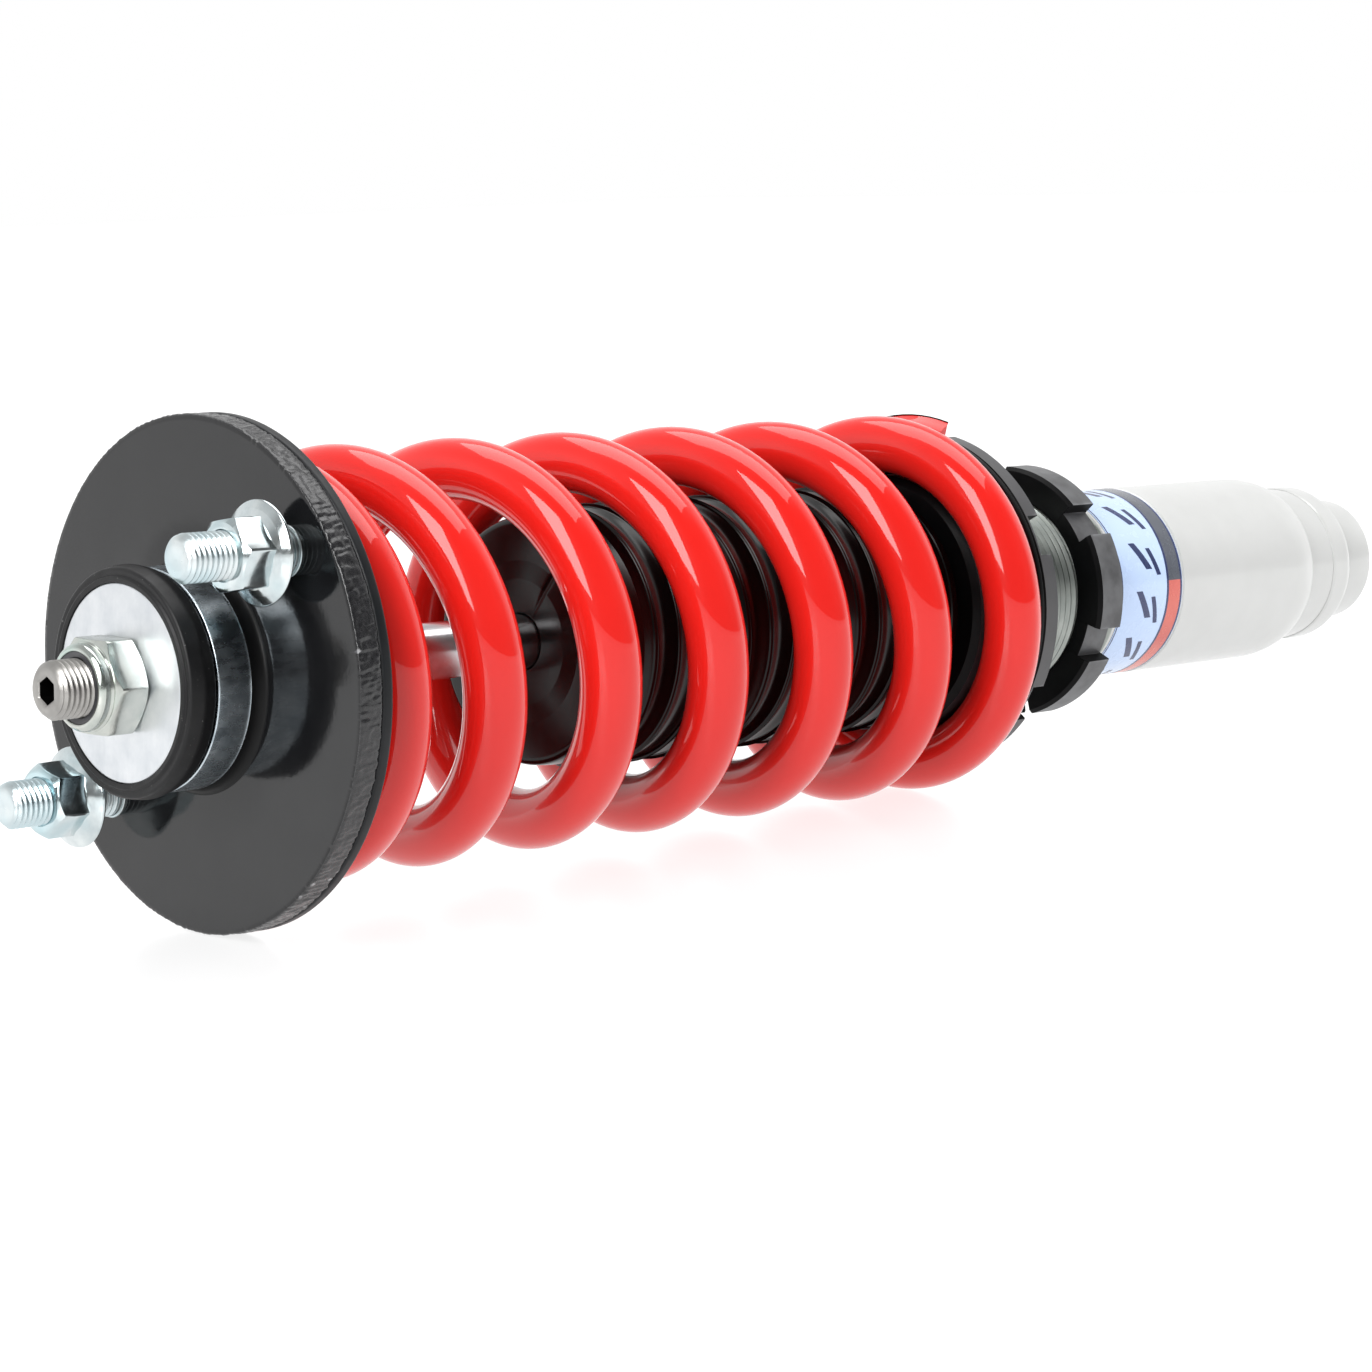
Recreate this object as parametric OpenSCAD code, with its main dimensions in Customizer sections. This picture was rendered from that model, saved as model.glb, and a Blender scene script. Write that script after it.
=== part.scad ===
// Coilover: a threaded monotube damper inside a coil spring, with a two-stud top mount.
// The part lies along X. X = 0 is the outer face of the top plate, +X runs to the lower spigot, and +Z is up.
// Sizes are in millimetres. A turned piece is an outline of [radius, x] points turned about the X axis.

/* [Top mount] */
// Outer diameter of the top plate
plate_d = 107; // [104:1:112]
// Thickness of the top plate
plate_t = 5.5; // [5:0.5:7]
// Diameter where the flared neck meets the plate
neck_root_d = 49; // [48:1:62]
// Height of the flared neck above the plate
neck_h = 3.2; // [2.5:0.1:4]
// Outer diameter of the bushing housing
housing_d = 46; // [45:0.5:48]
// Length of the housing that stands out of the neck
housing_h = 8.1; // [6:0.1:10]
// Diameter of the bulge of the upper bushing
bushing_d = 47.8; // [47:0.1:50]
// Height of the upper bushing above the housing
bushing_h = 7.6; // [6.5:0.1:9]
// Diameter of the upper washer
upper_washer_d = 40.6; // [38:0.2:42]
// Thickness of the upper washer
upper_washer_t = 2.6; // [2:0.1:3]
// Thickness of the rubber isolator under the plate
isolator_t = 2.8; // [2:0.1:4]

/* [Studs] */
// Diameter of the circle that the two studs stand on
stud_circle_d = 81.5; // [78:0.5:84]
// Angle of the first stud about X, counted from +Y towards +Z
stud_angle = 137.8; // [0:0.1:360]
// Thread size of the studs
stud_d = 10; // [9:1:10]
// How far the studs stand out of the plate
stud_reach = 26.6; // [24:0.1:32]
// Gap between the plate and the flange of each stud nut
nut_gaps = [5.9, 8.3];
// Turn of each stud nut about its stud
nut_turns = [20, 48];
// Width across the flats of the stud nuts
stud_nut_af = 14; // [13:1:15]
// Diameter of the flange of the stud nuts
stud_nut_flange_d = 21.4; // [20:0.1:22]
// Height of the stud nuts
stud_nut_h = 9.6; // [9:0.1:11]

/* [Piston rod] */
// Diameter of the chromed rod
rod_d = 12.5; // [12.4:0.1:13]
// Thread size of the rod's end
rod_thread_d = 12; // [11:0.5:12]
// How far the rod's end stands out past the top plate
rod_reach = 36.4; // [34:0.1:44]
// Width across the flats of the hex socket in the rod's end
rod_socket_af = 5; // [4:0.5:6]
// Width across the flats of the rod nut
rod_nut_af = 19; // [18:0.5:21]
// Height of the rod nut's hexagon
rod_nut_hex_h = 7.8; // [7:0.1:9]
// Height of the round collar on the rod nut
rod_nut_collar_h = 3; // [2.5:0.1:4]
// Turn of the rod nut about the rod
rod_nut_turn = 30; // [0:1:60]

/* [Coil spring] */
// Diameter of the spring wire
wire_d = 13.4; // [12:0.1:13.4]
// Mean diameter of the coil
coil_mean_d = 78; // [78:0.5:80]
// Turns in each stretch of the coil, from the top end to the lower end
coil_turns = [1, 0.87, 1, 1, 1, 1, 1, 1.04];
// Rise of the wire along each of those stretches
coil_rises = [13.5, 19.9, 33.2, 31.4, 33.8, 31.5, 38, 14.3];
// Angle of the wire's top end about X, counted from +Y towards +Z
coil_start = 137; // [0:1:360]
// How far the wire's centre runs past each ground end face
end_grind = 3.3; // [2:0.1:4]

/* [Damper body] */
// Outer diameter of the body tube and of its thread
body_d = 48; // [48:0.1:48.4]
// Wall of the body tube
body_wall = 3; // [2.5:0.1:3.5]
// Place of the top edge of the body tube
body_top = 128; // [122:1:132]
// Place where the tube ends and the rounded shoulder starts
shoulder_start = 342; // [338:1:350]
// Diameter of the neck behind the shoulder
tail_neck_d = 40.4; // [36:0.2:40.4]
// Diameter of the bead on the neck
tail_bead_d = 41.2; // [40.6:0.2:42]
// Diameter of the spigot at the lower end
spigot_d = 32.2; // [30:0.1:34]
// Place of the lower end of the spigot
body_end = 387; // [385:1:400]
// Pitch of the thread on the body tube
body_pitch = 2; // [1.5:0.5:2]
// Place where the label band starts
label_start = 270.5; // [270.5:0.5:276]
// Width of the label band
label_w = 23; // [15:1:23]

/* [Perch and lock ring] */
// Outer diameter of the spring perch
perch_d = 82; // [80:0.5:86]
// Thickness of the perch's notched rim
perch_rim_t = 5.4; // [5:0.1:8]
// Outer diameter of the perch's hub inside the spring
perch_hub_d = 62.6; // [60:0.1:62.6]
// Length of the perch's hub inside the spring
perch_hub_h = 13; // [8:0.5:15]
// Outer diameter of the lock ring
ring_d = 62.8; // [60:0.2:66]
// Place of the lock ring's face on the perch side
ring_start = 251.7; // [240:0.1:251.7]
// Thickness of the lock ring
ring_t = 8.9; // [8:0.1:8.9]
// Notches for the hook spanner in the perch and in the lock ring
notch_count = 6; // [4:1:8]
// Depth of the perch's notches
perch_notch_depth = 5; // [3:0.1:6]
// Depth of the lock ring's notches
ring_notch_depth = 3.4; // [2:0.1:4]

/* [Dust boot and bump stop] */
// Place of the boot's top face
boot_top = 89; // [88:1:92]
// Place of the boot's lower edge
boot_bottom = 203; // [195:1:203]
// Diameter over the boot's folds
boot_fold_d = 59.5; // [58:0.5:61]
// Diameter in the boot's valleys
boot_valley_d = 54.5; // [53:0.5:56]
// Number of folds in the boot
boot_folds = 14; // [6:1:16]
// Wall of the boot
boot_wall = 1.3; // [1:0.1:1.6]
// Length of the bump stop
bump_stop_l = 27; // [20:1:27]

/* [Piston and gas chamber] */
// Place of the top face of the piston
piston_start = 172; // [170:1:180]
// Height of the piston
piston_h = 16; // [12:1:18]
// Place of the top face of the floating piston
floating_start = 300; // [290:1:305]
// Height of the floating piston
floating_h = 15; // [12:1:18]

/* [Hidden] */
$fn = 96;
eps = 0.1;

// Clearances, each on the radius or between two faces
run_gap = 0.05;
thread_gap = 0.02;
slip_gap = 0.3;
face_gap = 0.1;

// Radii
rod_r = rod_d / 2;
rod_end_r = rod_thread_d / 2;
body_r = body_d / 2;
bore_r = body_r - body_wall;
wire_r = wire_d / 2;
stud_r = stud_d / 2;
thread_depth = 0.9;

// Top mount, front to back
neck_x = -neck_h;
housing_x = neck_x - housing_h;
bushing_x = housing_x - bushing_h;
washer_inset = 0.3;
washer_x = bushing_x + washer_inset;
housing_wall = 2.5;
housing_press_r = housing_d / 2 - housing_wall;
housing_bore_r = housing_press_r - housing_wall;
web_front = -1.5;
web_back = 1;
web_hole_r = 9.5;
sleeve_r = 8;
sleeve_bore_r = 6.3;
lower_bushing_r = 20.5;
lower_bushing_end = 12;
lower_washer_r = 18;
lower_washer_t = 2.5;
rod_shoulder_x = lower_bushing_end + lower_washer_t;

// Rubber isolator
isolator_hole_r = 29;
isolator_lip_r = 31.6;
isolator_lip_h = 4;

// Studs
stud_spline_r = stud_r + 0.25;
stud_head_r = 8;
stud_head_t = 2.5;
stud_thread_r = stud_r - 0.2;
stud_plain_l = 6;
stud_nut_flange_t = 1.6;

// Coil spring
spring_top = plate_t + isolator_t;
coil_first = spring_top - end_grind;
spring_bottom = coil_first + sum_to(coil_rises, len(coil_rises)) - end_grind;
coil_total = sum_to(coil_turns, len(coil_turns));
coil_steps_per_turn = 28;
coil_blend = 0.12;
wire_sides = 12;

// Perch and its washer
seat_washer_t = 1.4;
seat_washer_x = spring_bottom + face_gap;
perch_x = seat_washer_x + seat_washer_t + face_gap;
perch_end = perch_x + perch_rim_t;
adjuster_bore_r = body_r + run_gap;
perch_notch_angle = 14;
perch_notch_turn = 153.6;
ring_notch_angle = 16;
ring_notch_turn = 141.5;

// Body thread, and the tube's plain stretches: relieved above the thread and under the label
thread_start = 196;
thread_end = label_start - 3;
relief = 0.3;
relieved_r = body_r - relief;
clamp_start = label_start + label_w + 0.8;

// Gland, guide and seals
gland_head = 8;
gland_thread_l = 12;
guide_x = body_top + gland_thread_l;
guide_l = 20;
guide_end = guide_x + guide_l;
wiper_t = 4;
wiper_r = 10;
seal_t = 5;
seal_r = 12;
oring_r = 1.3;
oring_squeeze = 0.2;
oring_floor_r = bore_r - run_gap - 2 * oring_r + oring_squeeze;
rebound_gap = 0.5;
rebound_x = guide_end + rebound_gap;
rebound_t = 7;
rebound_r = 13;

// Piston, shims and nut
piston_r = bore_r - 0.4;
band_t = 9;
band_inset = 1.2;
piston_spigot_r = 5;
shim_t = 0.4;
shim_step = shim_t + 0.02;
shim_radii = [17, 14.5, 12];
port_count = 6;
port_r = 2.5;
port_circle_r = 13;
spigot_shoulder_x = piston_start - shim_step * len(shim_radii);
piston_end = piston_start + piston_h;
piston_nut_x = piston_end + shim_step * len(shim_radii);
piston_nut_h = 6;
piston_nut_af = 16;
rod_lower_end = piston_nut_x + piston_nut_h + 1.5;

// Label band
label_t = 0.2;

// Lower cap
cap_plug_l = 6;
shoulder_l = 11;
bead_l = 6;
bead_end = shoulder_start + 27;
fillet_l = 4;
groove_w = 3;
groove_x = bead_end + fillet_l + 0.5;
groove_depth = 1;
cap_cavity_r = 15;
cap_cavity_end = shoulder_start + 12;
fill_hole_r = 4;
fill_plug_l = 9;
fill_plug_af = 4;

// Colours
zinc = [0.80, 0.82, 0.83];
gloss_black = [0.05, 0.05, 0.055];
rubber_black = [0.07, 0.07, 0.075];
spring_red = [0.85, 0.09, 0.07];
steel = [0.66, 0.67, 0.68];
silver_paint = [0.85, 0.85, 0.83];

// Helpers

function sum_to(list, count) = count <= 0 ? 0 : list[count - 1] + sum_to(list, count - 1);

// An outline of [radius, x] points, turned about the X axis
module turned(outline) {
    rotate([0, 90, 0]) rotate_extrude() polygon(outline);
}

// A round bar along X
module bar(x0, x1, r) {
    translate([x0, 0, 0]) rotate([0, 90, 0]) cylinder(r = r, h = x1 - x0);
}

// A tube along X
module tube(x0, x1, r, hole_r) {
    difference() {
        bar(x0, x1, r);
        bar(x0 - eps, x1 + eps, hole_r);
    }
}

// A hexagonal bar along X with its corners at +Z and -Z
module hex_bar(x0, x1, flats) {
    translate([x0, 0, 0]) rotate([0, 90, 0]) cylinder(d = flats / cos(30), h = x1 - x0, $fn = 6);
}

// The round part that a nut's corners are cut back to: full width in the middle, chamfered towards one end
module nut_chamfer(x0, x1, flats, front, back) {
    corner = flats / cos(30) / 2 + eps;
    face = flats / 2 * 0.97;
    drop = (corner - face) * tan(30);
    turned([
        [0, x0], [front ? face : corner, x0], [corner, x0 + (front ? drop : 0)],
        [corner, x1 - (back ? drop : 0)], [back ? face : corner, x1], [0, x1]
    ]);
}

// Puts a piece on each stud's axis, with $stud as its number
module on_studs() {
    for (i = [0:1]) {
        angle = stud_angle + 180 * i;
        $stud = i;
        translate([0, cos(angle) * stud_circle_d / 2, sin(angle) * stud_circle_d / 2]) children();
    }
}

// Spanner notches around a ring, open to its back face
module notches(x0, x1, r, depth, angle, turn) {
    reach = r + 5;
    half = tan(angle / 2) * r;
    for (i = [0:notch_count - 1])
        rotate([turn + i * 360 / notch_count, 0, 0])
            translate([x0, r - depth, -half]) cube([x1 - x0, reach - r + depth, 2 * half]);
}

// Top mount

module top_plate() {
    neck = [for (a = [0:15:90]) [
        neck_root_d / 2 - (neck_root_d - housing_d) / 2 * sin(a), neck_x * (1 - cos(a))
    ]];
    color(gloss_black) difference() {
        turned(concat(
            [[housing_press_r, plate_t], [plate_d / 2 - 0.5, plate_t], [plate_d / 2, plate_t - 0.5],
             [plate_d / 2, 0.5], [plate_d / 2 - 0.5, 0]],
            neck, [[housing_press_r, neck_x]]
        ));
        on_studs() {
            bar(-eps, plate_t + eps, stud_spline_r);
            bar(plate_t - stud_head_t, plate_t + eps, stud_head_r);
        }
    }
}

module bushing_housing() {
    color(gloss_black) turned([
        [housing_bore_r, housing_x], [housing_d / 2 - 0.4, housing_x], [housing_d / 2, housing_x + 0.4],
        [housing_d / 2, neck_x], [housing_press_r, neck_x], [housing_press_r, plate_t],
        [housing_bore_r, plate_t], [housing_bore_r, web_back], [web_hole_r, web_back],
        [web_hole_r, web_front], [housing_bore_r, web_front]
    ]);
}

module upper_bushing() {
    round_r = 2.6;
    outer = bushing_d / 2;
    lip_x = bushing_x + round_r;
    foot_x = housing_x - round_r;
    color(rubber_black) turned(concat(
        [[sleeve_r, web_front], [sleeve_r, washer_x + upper_washer_t],
         [upper_washer_d / 2, washer_x + upper_washer_t], [upper_washer_d / 2, bushing_x]],
        [for (a = [90:-22.5:0]) [outer - round_r + round_r * cos(a), lip_x - round_r * sin(a)]],
        [for (a = [0:22.5:90]) [outer - round_r + round_r * cos(a), foot_x + round_r * sin(a)]],
        [[housing_bore_r, housing_x], [housing_bore_r, web_front]]
    ));
}

module lower_bushing() {
    color(rubber_black) turned([
        [sleeve_r, web_back], [housing_bore_r, web_back], [housing_bore_r, plate_t],
        [lower_bushing_r - 1, plate_t], [lower_bushing_r, plate_t + 1],
        [lower_bushing_r, lower_bushing_end - 1.5], [lower_bushing_r - 1.5, lower_bushing_end],
        [sleeve_r, lower_bushing_end]
    ]);
}

module bushing_sleeve() {
    color(steel) tube(washer_x + upper_washer_t, lower_bushing_end, sleeve_r, sleeve_bore_r);
}

module upper_washer() {
    color(zinc) tube(washer_x, washer_x + upper_washer_t, upper_washer_d / 2, rod_end_r + thread_gap);
}

module lower_washer() {
    color(zinc) tube(lower_bushing_end, rod_shoulder_x, lower_washer_r, rod_end_r + thread_gap);
}

module rod_nut() {
    hex_x = washer_x - rod_nut_hex_h;
    collar_x = hex_x - rod_nut_collar_h;
    collar_r = rod_nut_af / 2 * 0.96;
    color(zinc) rotate([rod_nut_turn, 0, 0]) difference() {
        union() {
            intersection() {
                hex_bar(hex_x, washer_x, rod_nut_af);
                nut_chamfer(hex_x, washer_x, rod_nut_af, true, true);
            }
            turned([
                [0, hex_x + eps], [collar_r, hex_x + eps], [collar_r, collar_x + 0.8],
                [collar_r - 1.2, collar_x], [0, collar_x]
            ]);
        }
        bar(collar_x - eps, washer_x + eps, rod_end_r + thread_gap);
        bar(collar_x + 0.4, hex_x + eps, rod_end_r + 1.6);
    }
}

module rod_nut_insert() {
    hex_x = washer_x - rod_nut_hex_h;
    collar_x = hex_x - rod_nut_collar_h;
    color(rubber_black) tube(collar_x + 0.4, hex_x + eps, rod_end_r + 1.6, rod_end_r + thread_gap);
}

module mount_studs() {
    color(zinc) on_studs() {
        bar(plate_t - stud_head_t, plate_t, stud_head_r);
        bar(0, plate_t - stud_head_t, stud_spline_r);
        bar(-stud_plain_l, 0, stud_r);
        turned([
            [0, -stud_plain_l], [stud_thread_r, -stud_plain_l], [stud_thread_r, 1 - stud_reach],
            [stud_thread_r - 1, -stud_reach], [0, -stud_reach]
        ]);
    }
}

module stud_nuts() {
    color(zinc) on_studs() {
        back = -nut_gaps[$stud];
        front = back - stud_nut_h;
        flange_front = back - stud_nut_flange_t;
        rotate([nut_turns[$stud], 0, 0]) difference() {
            union() {
                turned([
                    [0, back], [stud_nut_flange_d / 2 - 0.3, back], [stud_nut_flange_d / 2, back - 0.5],
                    [stud_nut_flange_d / 2 - 0.2, back - 1.1],
                    [stud_nut_af / 2, flange_front - 0.8], [0, flange_front - 0.8]
                ]);
                intersection() {
                    hex_bar(front, back - 1, stud_nut_af);
                    nut_chamfer(front, back - 1, stud_nut_af, true, false);
                }
            }
            bar(front - eps, back + eps, stud_thread_r + thread_gap);
        }
    }
}

module spring_isolator() {
    color(rubber_black) turned([
        [isolator_hole_r, plate_t], [plate_d / 2 - 0.6, plate_t], [plate_d / 2, plate_t + 0.6],
        [plate_d / 2, spring_top - 0.6], [plate_d / 2 - 0.6, spring_top], [isolator_lip_r, spring_top],
        [isolator_lip_r, spring_top + isolator_lip_h - 1], [isolator_lip_r - 0.8, spring_top + isolator_lip_h],
        [isolator_hole_r, spring_top + isolator_lip_h]
    ]);
}

// Coil spring

coil_knots = [for (i = [0:len(coil_turns)]) [sum_to(coil_turns, i), coil_first + sum_to(coil_rises, i)]];

// The wire's centre after some turns: the rise of each stretch, blended where two stretches meet
function coil_x(turn) =
    (lookup(turn - coil_blend, coil_knots) + 2 * lookup(turn, coil_knots)
        + lookup(turn + coil_blend, coil_knots)) / 4;

function coil_point(turn) =
    let (a = coil_start + 360 * turn)
    [coil_x(turn), cos(a) * coil_mean_d / 2, sin(a) * coil_mean_d / 2];

// One ring of points around the wire, square to its path
function wire_ring(turn) =
    let (
        a = coil_start + 360 * turn,
        along = coil_point(turn + 0.01) - coil_point(turn - 0.01),
        out = [0, cos(a), sin(a)],
        side = cross(along / norm(along), out)
    )
    [for (i = [0:wire_sides - 1])
        let (b = 360 * i / wire_sides) coil_point(turn) + wire_r * (out * cos(b) + side * sin(b))];

module coil_wire() {
    steps = ceil(coil_total * coil_steps_per_turn);
    points = [for (s = [0:steps]) each wire_ring(coil_total * s / steps)];
    sides = [for (s = [0:steps - 1], i = [0:wire_sides - 1])
        let (a = s * wire_sides + i, b = s * wire_sides + (i + 1) % wire_sides)
        [a, b, b + wire_sides, a + wire_sides]];
    ends = [
        [for (i = [wire_sides - 1:-1:0]) i],
        [for (i = [0:wire_sides - 1]) steps * wire_sides + i]
    ];
    polyhedron(points, concat(sides, ends), convexity = 20);
}

module coil_spring() {
    half = coil_mean_d;
    color(spring_red) intersection() {
        coil_wire();
        translate([spring_top, -half, -half]) cube([spring_bottom - spring_top, 2 * half, 2 * half]);
    }
}

// Piston rod and what is on it

module piston_rod() {
    color(steel) difference() {
        turned([
            [0, -rod_reach], [rod_end_r - 1.3, -rod_reach], [rod_end_r, 1.3 - rod_reach],
            [rod_end_r, rod_shoulder_x], [rod_r, rod_shoulder_x], [rod_r, spigot_shoulder_x],
            [piston_spigot_r, spigot_shoulder_x], [piston_spigot_r, rod_lower_end - 0.8],
            [piston_spigot_r - 0.8, rod_lower_end], [0, rod_lower_end]
        ]);
        hex_bar(-rod_reach - eps, 5 - rod_reach, rod_socket_af);
    }
}

module rebound_bumper() {
    color(rubber_black) turned([
        [rod_r, rebound_x], [rebound_r - 1.5, rebound_x], [rebound_r, rebound_x + 1.5],
        [rebound_r, rebound_x + rebound_t - 1.5], [rebound_r - 1.5, rebound_x + rebound_t],
        [rod_r, rebound_x + rebound_t]
    ]);
}

module piston() {
    groove_x0 = piston_start + (piston_h - band_t) / 2;
    color(steel) difference() {
        tube(piston_start, piston_end, piston_r, piston_spigot_r);
        tube(groove_x0, groove_x0 + band_t, piston_r + 1, piston_r - band_inset);
        for (i = [0:port_count - 1])
            rotate([i * 360 / port_count, 0, 0]) translate([0, port_circle_r, 0])
                bar(piston_start - eps, piston_end + eps, port_r);
    }
}

module piston_band() {
    groove_x0 = piston_start + (piston_h - band_t) / 2;
    color([0.35, 0.25, 0.15])
        tube(groove_x0, groove_x0 + band_t, bore_r - run_gap, piston_r - band_inset);
}

// A stack of thin discs: the widest lies on the piston
module shim_stack(face_x, direction) {
    for (i = [0:len(shim_radii) - 1]) {
        x0 = face_x + direction * shim_step * i;
        x1 = x0 + direction * shim_t;
        tube(min(x0, x1), max(x0, x1), shim_radii[i], piston_spigot_r);
    }
}

module compression_shims() {
    color(zinc) shim_stack(piston_start, -1);
}

module rebound_shims() {
    color(zinc) shim_stack(piston_end, 1);
}

module piston_nut() {
    color(steel) difference() {
        intersection() {
            hex_bar(piston_nut_x, piston_nut_x + piston_nut_h, piston_nut_af);
            nut_chamfer(piston_nut_x, piston_nut_x + piston_nut_h, piston_nut_af, false, true);
        }
        bar(piston_nut_x - eps, piston_nut_x + piston_nut_h + eps, piston_spigot_r + thread_gap);
    }
}

// Boot and bump stop

boot_cap_t = 2.4;
boot_cap_r = 27.7;
boot_skirt_x = boot_top + 10.3;
boot_foot_x = boot_bottom - 3;

function boot_r(x) =
    let (
        mean = (boot_fold_d + boot_valley_d) / 4,
        swing = (boot_fold_d - boot_valley_d) / 4,
        share = (x - boot_skirt_x) / (boot_foot_x - boot_skirt_x)
    )
    mean - swing * cos(360 * boot_folds * share);

module dust_boot() {
    step = (boot_foot_x - boot_skirt_x) / boot_folds / 4;
    folds = [for (i = [0:boot_folds * 4]) boot_skirt_x + i * step];
    last = len(folds) - 1;
    foot_r = boot_valley_d / 2 + 1;
    color(rubber_black) turned(concat(
        [[rod_r + slip_gap, boot_top], [boot_cap_r - 1.5, boot_top], [boot_cap_r, boot_top + 1.5]],
        [for (x = folds) [boot_r(x), x]],
        [[foot_r, boot_foot_x + 1], [foot_r, boot_bottom], [foot_r - boot_wall - 0.4, boot_bottom]],
        [for (i = [last:-1:0]) [boot_r(folds[i]) - boot_wall, folds[i]]],
        [[boot_cap_r - boot_wall - 0.4, boot_top + boot_cap_t], [rod_r + slip_gap, boot_top + boot_cap_t]]
    ));
}

module bump_stop() {
    x0 = boot_top + boot_cap_t + 0.2;
    x1 = x0 + bump_stop_l;
    waist_x = x0 + bump_stop_l * 0.45;
    hole_r = rod_r + 0.1;
    color([0.20, 0.20, 0.21]) turned([
        [hole_r, x0], [14, x0], [17, x0 + 3], [17, waist_x - 3], [13.5, waist_x], [17.5, waist_x + 3],
        [21, waist_x + 7], [21, x1 - 2], [19, x1], [hole_r, x1]
    ]);
}

// Damper body

// Ring grooves that stand for a thread, as outline points from x0 to x1
function thread_points(x0, x1, r, pitch, depth) =
    [for (x = [x0:pitch:x1 - pitch + eps]) each [[r, x], [r - depth, x + pitch / 2]]];

module body_tube() {
    color(silver_paint) turned(concat(
        [[bore_r, body_top], [relieved_r - 1, body_top], [relieved_r, body_top + 1],
         [relieved_r, thread_start]],
        thread_points(thread_start, thread_end, body_r, body_pitch, thread_depth),
        [[body_r, thread_end], [relieved_r, thread_end + relief], [relieved_r, clamp_start - relief],
         [body_r, clamp_start], [body_r, shoulder_start], [bore_r, shoulder_start]]
    ));
}

module lower_cap() {
    neck_r = tail_neck_d / 2;
    bead_r = tail_bead_d / 2;
    spigot_r = spigot_d / 2;
    shoulder = [for (a = [0:15:90]) [
        neck_r + (body_r - neck_r) * cos(a), shoulder_start + shoulder_l * sin(a)
    ]];
    fillet = [for (a = [0:22.5:90]) [
        spigot_r + (bead_r - spigot_r) * cos(a), bead_end + fillet_l * sin(a)
    ]];
    plug_r = bore_r;
    color(silver_paint) turned(concat(
        [[cap_cavity_r, shoulder_start - cap_plug_l], [plug_r, shoulder_start - cap_plug_l],
         [plug_r, shoulder_start]],
        shoulder,
        [[neck_r, bead_end - bead_l], [bead_r, bead_end - bead_l + 1.5]],
        fillet,
        [[spigot_r, groove_x], [spigot_r - groove_depth, groove_x + 0.5],
         [spigot_r - groove_depth, groove_x + groove_w - 0.5], [spigot_r, groove_x + groove_w],
         [spigot_r, body_end - 1.2], [spigot_r - 1.2, body_end], [fill_hole_r, body_end],
         [fill_hole_r, cap_cavity_end + 2], [1.5, cap_cavity_end + 2], [1.5, cap_cavity_end],
         [cap_cavity_r - 3, cap_cavity_end], [cap_cavity_r, cap_cavity_end - 3]]
    ));
}

module fill_plug() {
    x1 = body_end - 2;
    x0 = x1 - fill_plug_l;
    color(zinc) difference() {
        bar(x0, x1, fill_hole_r);
        hex_bar(x1 - 4, x1 + eps, fill_plug_af);
    }
}

module gland_nut() {
    x0 = body_top - gland_head;
    color(steel) turned([
        [rod_r + 0.4, x0], [relieved_r - 1.5, x0], [relieved_r, x0 + 1.5], [relieved_r, body_top],
        [bore_r, body_top],
        [bore_r, guide_x], [wiper_r, guide_x], [wiper_r, guide_x - wiper_t], [rod_r + 0.4, guide_x - wiper_t]
    ]);
}

module rod_wiper() {
    color(rubber_black) tube(guide_x - wiper_t, guide_x, wiper_r, rod_r + run_gap);
}

module rod_guide() {
    ring_x = guide_x + guide_l / 2;
    guide_r = bore_r - run_gap;
    color([0.72, 0.73, 0.74]) turned([
        [seal_r, guide_x], [guide_r, guide_x], [guide_r, ring_x - oring_r],
        [oring_floor_r, ring_x - oring_r], [oring_floor_r, ring_x + oring_r],
        [guide_r, ring_x + oring_r], [guide_r, guide_end], [rod_r + run_gap, guide_end],
        [rod_r + run_gap, guide_x + seal_t], [seal_r, guide_x + seal_t]
    ]);
}

module rod_seal() {
    color(rubber_black) tube(guide_x, guide_x + seal_t, seal_r, rod_r + run_gap);
}

// An O-ring in the groove of a piece inside the bore, flattened to the outer radius where it seals
module bore_oring(x, outer_r) {
    color(rubber_black) intersection() {
        rotate([0, 90, 0]) translate([0, 0, x]) rotate_extrude()
            translate([oring_floor_r + oring_r, 0]) circle(r = oring_r, $fn = 32);
        bar(x - 2 * oring_r, x + 2 * oring_r, outer_r);
    }
}

module guide_oring() {
    bore_oring(guide_x + guide_l / 2, bore_r);
}

module floating_piston() {
    ring_x = floating_start + floating_h / 2;
    outer = bore_r - run_gap;
    dish_r = 14;
    color([0.72, 0.73, 0.74]) turned([
        [0, floating_start], [outer - 0.5, floating_start], [outer, floating_start + 0.5],
        [outer, ring_x - oring_r], [oring_floor_r, ring_x - oring_r],
        [oring_floor_r, ring_x + oring_r], [outer, ring_x + oring_r],
        [outer, floating_start + floating_h - 0.5], [outer - 0.5, floating_start + floating_h],
        [dish_r, floating_start + floating_h], [dish_r, floating_start + 5], [0, floating_start + 5]
    ]);
}

module floating_oring() {
    bore_oring(floating_start + floating_h / 2, bore_r - run_gap);
}

module label_band() {
    color([0.66, 0.75, 0.93]) tube(label_start, label_start + label_w, relieved_r + label_t, relieved_r);
}

// Spring seat, perch and lock ring

module seat_washer() {
    color(gloss_black)
        tube(seat_washer_x, seat_washer_x + seat_washer_t, perch_d / 2 + 0.2, perch_hub_d / 2 + slip_gap);
}

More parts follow.
